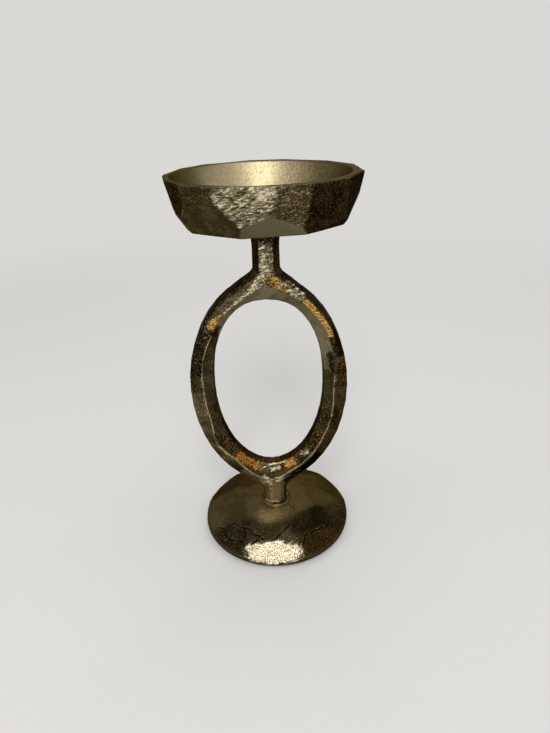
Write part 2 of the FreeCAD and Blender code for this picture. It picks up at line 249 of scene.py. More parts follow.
def along_line(points, start, end):
    """Distance of each point from the straight line between two places in millimetres."""
    start, end = np.array(start) * mm, np.array(end) * mm
    along = end - start
    share = np.clip((points - start) @ along / max(along @ along, 1e-12), 0, 1)
    return np.linalg.norm(points - start - share[:, None] * along, axis=1)


def near_strokes(points, strokes):
    """From 0 to a stroke's strength: how far a point lies within one of the strokes.

    A stroke runs from one place to another, with a half width, in millimetres.
    """
    rough_edge = layered(points, ragged_layers)
    result = np.zeros(len(points))
    for start, end, half_width, strength in strokes:
        gap = along_line(points, start, end)
        value = smooth_step(1.25, 0.55, gap / (half_width * mm) + rough_edge * ragged_share)
        result = np.maximum(result, strength * value)
    return result


def soft_spots(points, spots):
    """Sum of soft round spots: place and radius in millimetres, then strength."""
    result = np.zeros(len(points))
    for place, radius, strength in spots:
        gap = np.linalg.norm(points - np.array(place) * mm, axis=1)
        result += strength * smooth_step(1.5, 0.3, gap / (radius * mm))
    return result


def near_chains(points, chains):
    """1 on the lines that join the places of each chain, falling to 0 a short way off."""
    waver = [lumps(points, crack_waver_width, seed) for seed in crack_waver_seeds]
    wavering = points + np.stack(waver, axis=1) * crack_waver
    result = np.zeros(len(points))
    for chain in chains:
        for start, end in zip(chain, chain[1:]):
            gap = along_line(wavering, start, end)
            result = np.maximum(result, 1 - gap / line_reach)
    return result


def direction(angle, slope):
    """Outward direction of a facet: compass angle from the front, and slope upwards."""
    angle, slope = math.radians(angle), math.radians(slope)
    level = math.cos(slope)
    return Vector((level * math.sin(angle), -level * math.cos(angle), math.sin(slope)))


def nearest_facets(node, points):
    """For each point, the direction and the middle of the node's nearest flat facet."""
    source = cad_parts[node].data
    corners = [vertex.co for vertex in source.vertices]
    tree = BVHTree.FromPolygons(corners, [polygon.vertices for polygon in source.polygons])
    numbers = np.array([tree.find_nearest(place)[2] for place in points])
    directions = np.array([polygon.normal for polygon in source.polygons])
    middles = np.array([polygon.center for polygon in source.polygons])
    return directions[numbers], middles[numbers]


def drawn(facing, seed, low, high):
    """A number that is drawn once for each facet, by its direction."""
    keys, places = np.unique(np.round(facing, 2), axis=0, return_inverse=True)
    values = [noise.cell(Vector(key) * 53 + Vector((seed, 0, 0))) for key in keys]
    return low + (high - low) * np.array(values)[places.ravel()]


def facet_values(facing, facets, others):
    """Tone, warmth, glints and brightness of each point's facet, from a table.

    A facet that isn't in the table gets a tone drawn between others' two tones, and the
    rest from others as well.
    """
    low, high, *rest = others
    values = np.empty((len(facing), 4))
    values[:, 0] = drawn(facing, 1, low, high)
    values[:, 1:] = rest
    for angle, slope, *own in facets:
        near = facing @ np.array(direction(angle, slope)) > facet_tolerance
        values[near] = own
    return values


def edge_lines(node, points, side_share):
    """1 on the node's sharp convex edges, falling to 0 a short way off.

    Edges of a face that looks sideways, up or down have only a share of that, which
    side_share gives for their level.
    """
    shape = bmesh.new()
    shape.from_mesh(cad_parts[node].data)
    bmesh.ops.remove_doubles(shape, verts=shape.verts, dist=weld_distance)
    places = []
    strengths = []
    for edge in shape.edges:
        if len(edge.link_faces) != 2 or not edge.is_convex:
            continue
        angle = edge.calc_face_angle()
        if angle < least_edge_angle:
            continue
        start, end = (vertex.co for vertex in edge.verts)
        strength = min(angle / full_edge_angle, 1)
        if min(abs(face.normal.y) for face in edge.link_faces) < level_face:
            strength *= side_share(start.z)
        count = max(int(edge.calc_length() / edge_step), 1)
        for step in range(count + 1):
            places.append(start.lerp(end, step / count))
            strengths.append(strength)
    shape.free()
    tree = KDTree(len(places))
    for number, place in enumerate(places):
        tree.insert(place, number)
    tree.balance()
    found = [tree.find(place)[1:] for place in points]
    numbers = np.array([number for number, gap in found])
    gaps = np.array([gap for number, gap in found])
    return np.clip(1 - gaps / line_reach, 0, 1) * np.array(strengths)[numbers]


def wrinkles(points):
    """Wavy lumps, drawn out level, from 0 to 1."""
    waver = np.zeros_like(points)
    waver[:, 2] = lumps(points, wrinkle_waver_width, 5) * wrinkle_waver
    waver[:, 2] += points[:, 0] * wrinkle_tilt
    return 0.5 + 0.5 * lumps(points + waver, wrinkle_width, 6, wrinkle_stretch)


def cast_relief(points, rough, streaked):
    """Height of the sand-cast skin above the true surface, in metres."""
    waves = layered(points, casting_waves)
    grain = layered(points, casting_grain)
    ribs = (wrinkles(points) - 0.5) * rib_height
    wave_share = least_wave_share + (1 - least_wave_share) * rough
    return waves * wave_share + grain * rough + ribs * streaked


class Material:
    """Short calls that add nodes to one material."""

    def __init__(self, name):
        self.data = bpy.data.materials.new(name)
        self.data.use_nodes = True
        self.tree = self.data.node_tree
        self.tree.nodes.clear()
        self.shader = self.add("ShaderNodeBsdfPrincipled")
        self.output = self.add("ShaderNodeOutputMaterial")
        self.tree.links.new(self.shader.outputs[0], self.output.inputs["Surface"])
        self.place = self.add("ShaderNodeTexCoord").outputs["Object"]

    def add(self, kind, **settings):
        node = self.tree.nodes.new(kind)
        for name, value in settings.items():
            setattr(node, name, value)
        return node

    def plug(self, socket, value):
        if isinstance(value, bpy.types.NodeSocket):
            self.tree.links.new(value, socket)
        elif isinstance(value, tuple) and len(value) == 3 and socket.type == "RGBA":
            socket.default_value = (*value, 1)
        else:
            socket.default_value = value

    def attribute(self, name):
        return self.add("ShaderNodeAttribute", attribute_name=name).outputs["Fac"]

    def noise(self, size, detail=2.0, roughness=0.5, stretch=(1, 1, 1), distortion=0.0, tilt=0):
        """Noise whose lumps are about as wide as size, from 0 to 1; tilt turns them about Y."""
        mapping = self.add("ShaderNodeMapping", vector_type="TEXTURE")
        self.plug(mapping.inputs["Vector"], self.place)
        mapping.inputs["Rotation"].default_value = (0, math.radians(tilt), 0)
        mapping.inputs["Scale"].default_value = [size * part for part in stretch]
        texture = self.add("ShaderNodeTexNoise")
        self.plug(texture.inputs["Vector"], mapping.outputs[0])
        texture.inputs["Scale"].default_value = 1
        texture.inputs["Detail"].default_value = detail
        texture.inputs["Roughness"].default_value = roughness
        texture.inputs["Distortion"].default_value = distortion
        return texture.outputs["Fac"]

    def sum(self, first, second, operation="ADD", clamp=False):
        node = self.add("ShaderNodeMath", operation=operation, use_clamp=clamp)
        self.plug(node.inputs[0], first)
        self.plug(node.inputs[1], second)
        return node.outputs[0]

    def times(self, first, second):
        return self.sum(first, second, "MULTIPLY")

    def scale(self, value, from_low, from_high, to_low=0.0, to_high=1.0):
        """Maps one span of numbers to another, with soft ends, never beyond them."""
        node = self.add("ShaderNodeMapRange", interpolation_type="SMOOTHSTEP")
        self.plug(node.inputs["Value"], value)
        for name, number in (("From Min", from_low), ("From Max", from_high),
                             ("To Min", to_low), ("To Max", to_high)):
            node.inputs[name].default_value = number
        return node.outputs[0]

    def mix(self, share, first, second):
        """Colour between two colours."""
        node = self.add("ShaderNodeMix", data_type="RGBA")
        self.plug(node.inputs[0], share)
        self.plug(node.inputs[6], first)
        self.plug(node.inputs[7], second)
        return node.outputs[2]

    def tint(self, color, tint):
        """Colour times a tint."""
        node = self.add("ShaderNodeMix", data_type="RGBA", blend_type="MULTIPLY")
        node.inputs[0].default_value = 1
        self.plug(node.inputs[6], color)
        self.plug(node.inputs[7], tint)
        return node.outputs[2]

    def bump(self, height, depth, normal=None):
        node = self.add("ShaderNodeBump")
        node.inputs["Distance"].default_value = depth
        self.plug(node.inputs["Height"], height)
        if normal is not None:
            self.plug(node.inputs["Normal"], normal)
        return node.outputs[0]

    def finish(self, color, roughness, metallic, normal=None):
        self.plug(self.shader.inputs["Base Color"], color)
        self.plug(self.shader.inputs["Roughness"], roughness)
        self.plug(self.shader.inputs["Metallic"], metallic)
        if normal is not None:
            self.plug(self.shader.inputs["Normal"], normal)
        return self.data


# Colours of the antique finish
patina_black = (0.009, 0.006, 0.002)
patina_brown = (0.055, 0.043, 0.021)
patina_grey = (0.235, 0.205, 0.125)
bare_brass = (0.52, 0.40, 0.19)
warm_tint = (1.12, 0.86, 0.58)
# Bright metal: rubbed brass on the ring's ridges and painted highlights
highlight_and_wear_valley = (0.060, 0.046, 0.022)
highlight_and_wear_brass = (0.30, 0.245, 0.14)
highlight_and_wear_peak = (0.95, 0.85, 0.62)
# Colours of painted glints
glint_white = (0.90, 0.78, 0.52)
glint_gold = (0.80, 0.50, 0.16)
edge_brass = (0.62, 0.53, 0.31)
gilt_deep = (0.075, 0.034, 0.008)
gilt_middle = (0.42, 0.205, 0.048)
gilt_light = (1.00, 0.66, 0.25)
gilt_yellow_tint = (0.96, 1.10, 1.15)
gilt_red_tint = (1.04, 0.90, 0.78)
vein_black = (0.006, 0.004, 0.002)
# Satin of the cup: pale where a highlight is painted on its far wall, fading into darker gold,
# which is painted shade towards its sides
satin_painted_highlight = (0.47, 0.39, 0.24)
satin_gold = (0.105, 0.084, 0.040)
satin_wear = (0.70, 0.66, 0.58)
lip_grey = (0.115, 0.103, 0.075)
edge_tint = (0.30, 0.26, 0.19, 1)   # how little the finish shines when seen from the side

# Colours of the small parts
yellow_zinc_light = (0.62, 0.52, 0.30)
yellow_zinc_dull = (0.40, 0.33, 0.18)
zinc_light = (0.62, 0.62, 0.60)
zinc_dull = (0.42, 0.42, 0.41)
spring_steel_light = (0.34, 0.34, 0.35)
spring_steel_dull = (0.20, 0.20, 0.21)
felt_hollow = (0.022, 0.018, 0.014)
felt_fibre = (0.085, 0.072, 0.058)
felt_cloud = (0.05, 0.042, 0.034)


def antique_brass(name, edge_wear, cloudiness, graininess, has_cup=False):
    """Dark patina on a rough casting, rubbed bright on its edges, with painted glints on high
    grains and bright metal that is partly rubbed brass and partly painted highlight.

    Cloudiness and graininess are how far broad clouds and fine grains change its tone.
    """
    make = Material(name)
    tone = make.attribute("tone")
    warmth = make.attribute("warmth")
    glints = make.attribute("glints")
    bright = make.attribute("bright")
    streak = make.attribute("streak")
    gilt = make.attribute("gilt")
    edge = make.attribute("edge")
    vein = make.attribute("vein")

    cloud = make.noise(8 * mm, 3.0, 0.55)
    sand = make.noise(0.85 * mm, 3.0, 0.6)
    speck = make.noise(0.5 * mm, 2.0, 0.5)
    wrinkle = make.noise(0.8 * mm, 3.0, 0.55, (3.4, 3.4, 0.9), 0.8, -14)

    shade = make.sum(tone, make.scale(cloud, 0.3, 0.7, -cloudiness, cloudiness))
    shade = make.sum(shade, make.scale(sand, 0.3, 0.7, -graininess, graininess))
    color = make.mix(make.scale(shade, 0.0, 0.5), patina_black, patina_brown)
    color = make.mix(make.scale(shade, 0.45, 1.0), color, patina_grey)
    color = make.mix(make.scale(shade, 1.0, 2.0), color, bare_brass)
    color = make.mix(warmth, color, make.tint(color, warm_tint))

    # painted glints on high grains
    grit = make.sum(speck, make.scale(sand, 0.3, 0.7, -0.08, 0.08))
    glint = make.times(make.scale(grit, 0.60, 0.69), glints)
    color = make.mix(glint, color, make.mix(warmth, glint_white, glint_gold))

    gilt_level = make.sum(make.times(sand, 0.6), make.times(wrinkle, 0.4))
    gilt_level = make.sum(gilt_level, make.scale(gilt, 0.0, 1.0, -0.07, 0.10))
    gilt_color = make.mix(make.scale(gilt_level, 0.47, 0.58), gilt_deep, gilt_middle)
    gilt_color = make.mix(make.scale(gilt_level, 0.60, 0.70), gilt_color, gilt_light)
    gilt_tint = make.mix(warmth, gilt_yellow_tint, gilt_red_tint)
    gilt_color = make.tint(gilt_color, gilt_tint)
    gilded = make.sum(gilt, make.scale(sand, 0.3, 0.6, -0.45, 0.1))
    gilded = make.scale(gilded, 0.05, 0.45)
    color = make.mix(gilded, color, gilt_color)

    # Bright metal, wrinkled up to 1 and granular towards 2: painted highlights, and rubbed brass on
    # the ring
    over = make.scale(bright, 1.0, 2.0)
    crest = make.sum(make.times(streak, 0.30), make.times(wrinkle, 0.70))
    crest = make.sum(crest, make.scale(sand, 0.3, 0.7, -0.05, 0.05))
    granular = make.scale(sand, 0.30, 0.70, 0.45, 0.78)
    crest = make.sum(make.times(crest, make.sum(1.0, over, "SUBTRACT")),
                     make.times(granular, over))
    metal = make.mix(make.scale(crest, 0.39, 0.49), highlight_and_wear_valley, highlight_and_wear_brass)
    metal = make.mix(make.scale(crest, 0.51, 0.62), metal, highlight_and_wear_peak)
    light = make.scale(make.sum(bright, make.scale(crest, 0.35, 0.65, -0.2, 0.2)), 0.0, 1.0)
    light = make.times(light, make.scale(bright, 0.0, 0.12))
    color = make.mix(light, color, metal)

    broken = make.scale(cloud, 0.35, 0.60, 0.35, 1.0)
    broken = make.times(broken, make.scale(sand, 0.36, 0.56, 0.25, 1.0))
    rubbed = make.times(make.scale(edge, 0.74, 0.90, 0.0, edge_wear), broken)
    color = make.mix(rubbed, color, edge_brass)
    color = make.mix(make.scale(vein, 0.62, 0.88, 0.0, 0.95), color, vein_black)

    bare = make.sum(glint, gilded, "MAXIMUM")
    bare = make.sum(bare, light, "MAXIMUM")
    roughness = make.scale(bare, 0.0, 1.0, 0.42, 0.30)
    roughness = make.sum(roughness, make.scale(sand, 0.3, 0.7, 0.05, -0.05))
    coarse = make.sum(make.scale(glints, 0.0, 1.0, 0.10, 0.34), make.times(gilt, 0.2))
    height = make.times(sand, coarse)
    ridges = make.times(light, make.scale(over, 0.0, 1.0, 0.6, 0.0))
    height = make.sum(height, make.times(wrinkle, ridges))
    height = make.sum(height, make.times(make.times(sand, over), 0.35))

    if has_cup:
        cup = make.attribute("cup")
        lip = make.attribute("lip")
        ripple = make.attribute("ripple")
        mottle = make.noise(1.1 * mm, 3.0, 0.6, (1, 1, 1.5))
        satin_level = make.times(ripple, make.scale(sand, 0.35, 0.65, -0.3, 0.1))
        satin_level = make.sum(mottle, satin_level)
        # pale satin where a highlight is painted on the cup's far wall, darker gold round it as
        # painted shade towards the sides
        satin = make.mix(make.attribute("pale"), satin_gold, satin_painted_highlight)
        worn = make.tint(satin, satin_wear)
        satin = make.mix(make.scale(satin_level, 0.25, 0.60), worn, satin)
        color = make.mix(cup, color, satin)
        color = make.mix(make.times(lip, 0.9), color, lip_grey)
        smooth = make.sum(cup, lip, clamp=True)
        calm = make.sum(1.0, smooth, "SUBTRACT")
        satin_rough = make.scale(mottle, 0.3, 0.7, 0.47, 0.43)
        roughness = make.sum(make.times(roughness, calm), make.times(satin_rough, smooth))
        skin = make.times(mottle, make.scale(ripple, 0.0, 1.0, 0.06, 0.45))
        height = make.sum(make.times(height, calm), make.times(skin, smooth))

    make.shader.inputs["Specular Tint"].default_value = edge_tint
    normal = make.bump(height, 1.0 * mm)
    return make.finish(color, roughness, 1.0, normal)


def bright_steel(name, color, shade):
    """Plain or plated steel with turning marks."""
    make = Material(name)
    turned = make.noise(0.16 * mm, 3.0, 0.6, (1, 1, 3.0))
    cloud = make.noise(2.5 * mm, 3.0, 0.6)
    tone = make.mix(make.scale(cloud, 0.35, 0.7), color, shade)
    tone = make.mix(make.scale(turned, 0.55, 0.8, 0.0, 0.4), tone, shade)
    roughness = make.scale(cloud, 0.3, 0.7, 0.26, 0.42)
    normal = make.bump(turned, 0.012 * mm)
    return make.finish(tone, roughness, 1.0, normal)


def felt(name):
    make = Material(name)
    fibre = make.noise(0.22 * mm, 4.0, 0.7, (1, 1, 1), 1.2)
    cloud = make.noise(2.0 * mm, 3.0, 0.6)
    color = make.mix(make.scale(fibre, 0.35, 0.7), felt_hollow, felt_fibre)
    color = make.mix(make.scale(cloud, 0.4, 0.7, 0.0, 0.4), color, felt_cloud)
    make.shader.inputs["Sheen Weight"].default_value = 0.35
    make.shader.inputs["Sheen Roughness"].default_value = 0.5
    normal = make.bump(fibre, 0.12 * mm)
    return make.finish(color, 0.95, 0.0, normal)


# Facets with tones of their own, which are partly patina and partly painted light and shade:
# compass angle from the front towards the right and slope of the facet upwards, in degrees, then
# its tone, which goes from 0, black, over 1, grey, to 2, bare brass, its warmth, its glints, and
# how much painted highlight it has, where 2 is all over. The others' line gives two tones, between
# which theirs are drawn, and the rest.
bowl_facets = (
    # the front facet carries a painted highlight
    (-7, -22.7, 0.66, 0.20, 0.20, 1.00),
    (8, -42.4, 1.06, 0.00, 0.02, 0.00),
    (17, -29.8, 0.46, 0.50, 0.60, 0.12),
    (37, -27.9, 0.20, 0.32, 0.16, 0.00),
    (43, -46.4, 0.17, 0.10, 0.10, 0.00),
    (65, -14.8, 0.08, 0.30, 0.06, 0.00),
    (92, -9.0, 0.16, 0.10, 0.05, 0.00),
    (88, -28.2, 0.14, 0.00, 0.08, 0.00),
    (-32, -35.2, 0.50, 0.05, 0.07, 0.00),
    (-38, -17.5, 0.36, 0.40, 0.26, 0.00),
    (-58, -13.3, 0.32, 0.35, 0.20, 0.00),
    (-69, -31.2, 0.42, 0.05, 0.05, 0.00),
    (-79, -13.6, 0.34, 0.15, 0.08, 0.00),
)
bowl_others = (0.28, 0.58, 0.35, 0.14, 0.0)
# Where the painted highlight on the bowl's front facet is brighter or dimmer: place, radius, change
painted_highlight_from = 0.5
bowl_painted_highlight = (
    ((1.5, -46.8, 218.0), 5.0, 0.45),
    ((0.6, -45.5, 214.5), 3.0, 0.25),
    ((-18.5, -44.6, 218.0), 4.5, -0.42),
    ((-20.6, -43.6, 216.8), 3.0, -0.35),
    ((-9.0, -40.2, 205.0), 4.5, -0.48),
    ((-12.4, -39.3, 203.8), 2.6, -0.45),
    ((-1.3, -42.8, 209.0), 3.5, -0.32),
)
base_facets = (
    # the foot's front facet carries a painted highlight all over
    (-4, 67, 0.55, 0.20, 0.10, 2.00),
    (8, 72, 0.52, 0.30, 0.25, 0.00),
    (37, 67, 0.18, 1.00, 0.08, 0.00),
    (36, 75, 0.22, 0.30, 0.06, 0.00),
    (62, 73, 0.07, 0.10, 0.04, 0.00),
    (76, 68, 0.16, 0.20, 0.03, 0.00),
    (-8, 74, 0.44, 0.45, 0.12, 0.00),
    (-25, 73, 0.34, 0.45, 0.10, 0.00),
    (-42, 66, 0.22, 0.40, 0.10, 0.00),
    (-47, 72, 0.20, 0.20, 0.08, 0.00),
    (-82, 68, 0.56, 0.35, 0.02, 0.00),
    (-104, 74, 0.54, 0.35, 0.02, 0.00),
    (96, 75, 0.44, 0.30, 0.02, 0.00),
    (80, 81, 0.48, 0.30, 0.04, 0.00),
    (-15, 81, 0.58, 0.45, 0.12, 0.00),
    (30, 82, 0.52, 0.40, 0.06, 0.00),
    (-60, 82, 0.56, 0.35, 0.03, 0.00),
)
base_others = (0.48, 0.51, 0.35, 0.02, 0.0)

# Facets of the ring, on its front: which side of the ring, from one angle to another, clockwise
# from its top in degrees, then tone, warmth and glints. Their tones are partly patina and partly
# painted light and shade. A later line goes over an earlier one.
ring_tone_spread = (-0.06, 0.06)
ring_zones = (
    ("face", -180, 180, 0.62, 0.25, 0.50),
    ("face", -180, -160, 1.30, 0.30, 0.10),
    ("face", 160, 180, 1.30, 0.30, 0.10),
    ("face", -86, -54, 0.08, 0.10, 0.34),
    ("face", 0, 14, 0.62, 0.00, 0.50),
    ("face", -54, -25, 0.62, 0.00, 0.50),
    ("inner", -180, 180, 0.45, 0.50, 0.25),
    ("inner", -40, 64, 1.00, 0.00, 0.03),
    ("inner", -115, -40, 0.46, 0.10, 0.04),
    ("inner", 64, 80, 0.66, 0.10, 0.22),
    ("inner", 80, 112, 0.50, 0.40, 0.05),
    ("inner", 112, 168, 0.32, 0.80, 0.40),
    ("inner", -140, -115, 0.30, 0.55, 0.22),
    ("inner", -168, -140, 0.28, 0.90, 0.45),
    ("outer", -180, 180, 0.50, 0.30, 0.10),
    ("outer", -95, -84, 0.34, 0.10, 0.20),
    ("outer", -84, 45, 0.04, 0.10, 0.26),
    ("outer", -40, 45, 0.16, 0.20, 0.05),
    ("outer", 45, 68, 0.03, 0.50, 0.04),
    ("outer", 68, 92, 0.06, 0.80, 0.50),
    ("outer", 92, 150, 0.40, 0.35, 0.06),
    ("outer", 150, 172, 0.12, 0.70, 0.06),
    ("outer", -165, -95, 0.66, 0.30, 0.10),
    ("outer", -180, -165, 1.40, 0.30, 0.06),
    ("outer", 172, 180, 1.30, 0.30, 0.06),
    ("side", -180, 180, 0.30, 0.25, 0.08),
    ("inside", -180, 180, 0.30, 0.25, 0.10),
    ("upper stem", -180, 180, 0.14, 0.50, 0.06),
    ("lower stem", -180, 180, 1.55, 0.20, 0.05),
)

# Patches on the sides of the ring, in millimetres: from, to, half width, strength. Its back has
# them too, turned half round. The bright patches are partly rubbed brass and partly painted
# highlights, the dark ones partly patina and partly painted shade.
ring_wear_and_painted_highlight = {
    "face": (
        ((-2.4, -7, 182.2), (-2.8, -7, 178), 3.0, 0.95),
        ((-2.8, -7, 178), (-1.4, -7, 169), 3.0, 0.85),
        ((2.0, -7, 182.6), (1.5, -7, 170), 2.0, 0.35),
        ((-1, -7, 170), (-9, -7, 161), 2.4, 1.3),
        ((-9, -7, 161), (-24, -7, 149.5), 0.9, 1.6),
        ((9.5, -7, 165.7), (18.2, -7, 157.4), 3.8, 0.80),
    ),
    "outer": (((11.5, -6.8, 166.5), (19.0, -6.8, 159.0), 2.0, 0.75),),
    "inner": (
        ((-8.0, -5, 43), (0.5, -5, 42.0), 2.8, 0.70),
        ((-3.0, -3.7, 44.0), (6.0, -3.6, 45.6), 0.8, 1.9),
        ((17.5, -5, 52.5), (20.0, -5.5, 54.5), 2.0, 0.55),
    ),
    "any": (
        ((-21.8, -5.5, 41.7), (-9.9, -7.1, 36.0), 0.6, 0.6),
        ((-9.9, -7.1, 36.0), (-2.4, -7.5, 33.5), 0.9, 1.0),
        ((-9.4, -6.3, 33.0), (-7.6, -5.4, 27.0), 1.0, 0.6),
        ((-2.4, -7.5, 33.5), (4.8, -7.5, 37.1), 0.7, 0.9),
        ((4.8, -7.5, 37.1), (15.7, -5.5, 39.7), 0.5, 0.6),
        # painted highlights where the two ridges meet over the lower stem
        ((-7.6, -6.8, 35.6), (-3.8, -7.1, 32.2), 2.1, 1.9),
        ((0.8, -7.3, 33.8), (3.8, -7.0, 35.6), 1.9, 1.9),
        ((-2.6, -7.4, 34.0), (-3.2, -6.8, 15.0), 0.6, 0.7),
        # painted highlight at the stem's foot
        ((-3.6, -7.8, 15.8), (0.0, -7.8, 15.8), 1.2, 1.2),
    ),
}
ring_gilt = {
    "face": (
        ((-32.4, -7.4, 141.4), (-30.2, -7.4, 144.6), 2.5, 0.8),
        ((-30.2, -7.4, 144.6), (-26.0, -7.5, 147.8), 1.0, 0.8),
        ((2.5, -7.3, 166.0), (9.0, -7.4, 162.0), 3.2, 0.7),
        ((20.0, -7.3, 153.0), (34.0, -7.4, 135.0), 2.8, 1.0),
        ((38.0, -7.4, 117.5), (39.0, -7.0, 110.5), 2.0, 0.2),
    ),
    "inner": (
        ((-22.0, -5.0, 52.5), (-10.5, -5.0, 43.5), 3.2, 0.62),
        ((8.0, -4.8, 44.6), (11.0, -5.2, 46.2), 3.1, 0.78),
    ),
    "outer": (((40.8, -6.0, 118.5), (41.8, -5.8, 110.5), 2.4, 0.20),),
}
# Dark patches: patina, and painted shade where it is marked.
ring_dark_and_painted_shade = {
    "face": (
        ((35.8, -7.4, 131.0), (36.5, -7.4, 124.0), 4.0, 0.8),
        ((-34.5, -7.4, 138.0), (-37.5, -7.4, 132.0), 4.0, 0.8),
        # painted shadow of the bowl across the top of the stem
        ((-0.6, -7, 193.0), (-0.6, -7, 190.5), 5.2, 0.85),
    ),
    "lower stem": (
        # painted shade down the sides of the lower stem and at the two ends of its foot
        ((-8.6, -3.0, 36.0), (-8.2, -3.0, 13.0), 1.9, 0.80),
        ((6.8, -3.0, 36.0), (6.2, -3.0, 13.0), 2.2, 0.82),
        ((-9.0, -4.0, 15.6), (-6.4, -7.4, 15.6), 1.9, 0.80),
        ((3.0, -7.8, 15.6), (7.5, -4.5, 15.6), 1.9, 0.80),
    ),
    "any": (((6.0, -5.0, 32.5), (18.0, -5.0, 37.6), 2.2, 0.8),),
    "inner": (
        ((-30.5, -6.8, 137.5), (-28.0, -6.3, 140.0), 2.0, 0.6),
        ((-1.5, -5.0, 42.5), (3.5, -5.0, 41.5), 2.2, 0.5),
        ((33.4, -6.6, 121.0), (36.2, -7.2, 111.5), 2.5, 0.85),
    ),
}

# The foot: bright patches, which are a painted highlight, and dark patches, then soft spots with
# place, radius and strength, those round the stem's foot a painted highlight and two further right
# lighter patches, and cracks that run from place to place
# glints that come with the painted highlight spots round the stem's foot
painted_glow_glints = 1.5
crack_side_glints = 0.25
crack_side_span = (0.1, 0.5)
# painted highlight across the front facets of the foot
base_painted_highlight = (
    ((-15.5, -38.5, 5.5), (-4.0, -41.0, 5.5), 4.6, 2.0),
    ((-4.0, -41.0, 5.5), (10.0, -39.8, 5.5), 4.6, 2.0),
    ((8.0, -38.2, 6.2), (10.5, -40.0, 5.5), 3.0, 2.0),
)
base_dark = (
    ((-23, -29.5, 7.5), (-20.5, -27, 8.5), 4.0, 0.14),
    ((-36, -22, 5), (-26, -34, 5), 5.0, 0.08),
    ((19, -25, 9), (24, -19, 9.5), 4.0, 0.14),
)
# soft spots: painted highlight round the stem's foot, then two lighter patches further right
base_painted_glow = (
    ((-6, -15.5, 12.5), 6.5, 0.36),
    ((4, -13.5, 13), 6.0, 0.24),
    ((-5, -16.0, 12.3), 3.2, 0.30),
    ((35.8, -7.5, 8), 6.0, 0.07),
    ((41.3, -1.8, 6), 5.0, 0.12),
)
base_veins = (
    ((-37.1, -18.4, 6.3), (-33.2, -20.4, 7.1), (-28.7, -18.0, 8.7), (-21.5, -22.5, 9.4),
     (-16.4, -25.0, 9.9), (-15.8, -27.8, 9.2), (-11.5, -29.6, 9.2), (-9.0, -32.5, 8.7)),
    ((-33.2, -20.4, 7.1), (-33.5, -24.0, 6.0), (-31.0, -28.1, 5.4), (-26.2, -30.0, 6.1),
     (-22.0, -31.7, 6.8), (-19.9, -27.4, 8.7), (-21.5, -22.5, 9.4)),
    ((-11.5, -29.6, 9.2), (-13.0, -32.4, 8.3), (-16.1, -34.6, 7.3)),
    ((-5.0, -33.9, 8.5), (-0.4, -31.9, 9.2), (2.8, -28.3, 10.4), (7.3, -24.3, 11.3)),
    ((15.6, -38.9, 5.8), (15.4, -34.3, 7.5), (18.2, -29.0, 8.5), (24.7, -25.5, 8.1),
     (31.9, -23.1, 7.0)),
)

# Soft spots inside the cup: where its satin is pale, which is a painted highlight on its far wall,
# and where it is rippled
cup_painted_highlight = (((-4, 42, 209), 28.0, 1.0),)
cup_ripple = (
    ((20, 36.5, 213), 10.0, 0.9),
    ((28, 29.5, 211), 9.0, 0.8),
)


def full_share(level):
    """Every edge counts in full."""
    return 1


def ring_side_share(level):
    """Share of the wear that the edges of the ring's sides have, against its ridges."""
    return side_edge_share if level > worn_stem_level else stem_edge_share


def dress(piece, node, values, rough, blend, side_share, gilt=None, vein=None, edge_mask=1):
    """Adds the cast skin to a casting and keeps what its material reads."""
    mesh = piece.data
    points = read_points(mesh)
    pairs = edge_pairs(mesh)
    values = relaxed(values, pairs, blend)
    for name, column in zip(("tone", "warmth", "glints", "bright"), values.T):
        store(mesh, name, column)
    store(mesh, "edge", edge_lines(node, points, side_share) * edge_mask)
    store(mesh, "streak", wrinkles(points))
    nothing = np.zeros(len(points))
    store(mesh, "gilt", nothing if gilt is None else gilt)
    store(mesh, "vein", nothing if vein is None else vein)
    coarse = least_grain_share + (1 - least_grain_share) * values[:, 2]
    height = cast_relief(points, coarse, np.clip(values[:, 3], 0, 1)) * rough
    if vein is not None:
        height -= smooth_step(*vein_span, vein) * vein_depth
    write_points(mesh, points + read_normals(mesh) * height[:, None])


def soften(piece, rounds, weights=smoothing_weight):
    """Takes the edge off a piece's facets."""
    mesh = piece.data
    write_points(mesh, relaxed(read_points(mesh), edge_pairs(mesh), rounds, weights))


def cup_share(points, normals):
    """1 on the cup's surface, 0 on the outside of the bowl, which faces downwards."""
    across = np.hypot(points[:, 0] - cup_shift, points[:, 1])
    wall = cup_rim_radius - (rim_level - points[:, 2]) * cup_slope
    beside = smooth_step(*cup_wall_span, across - wall)
    beside = beside * smooth_step(*cup_facing_span, normals[:, 2])
    return beside * smooth_step(*cup_floor_span, points[:, 2] - cup_floor)


def lip_share(points, normals):
    """1 on the rim's flat top, falling to 0 round its edges."""
    near_rim = smooth_step(*lip_level_span, points[:, 2] - rim_level)
    return near_rim * smooth_step(*lip_facing_span, normals[:, 2])


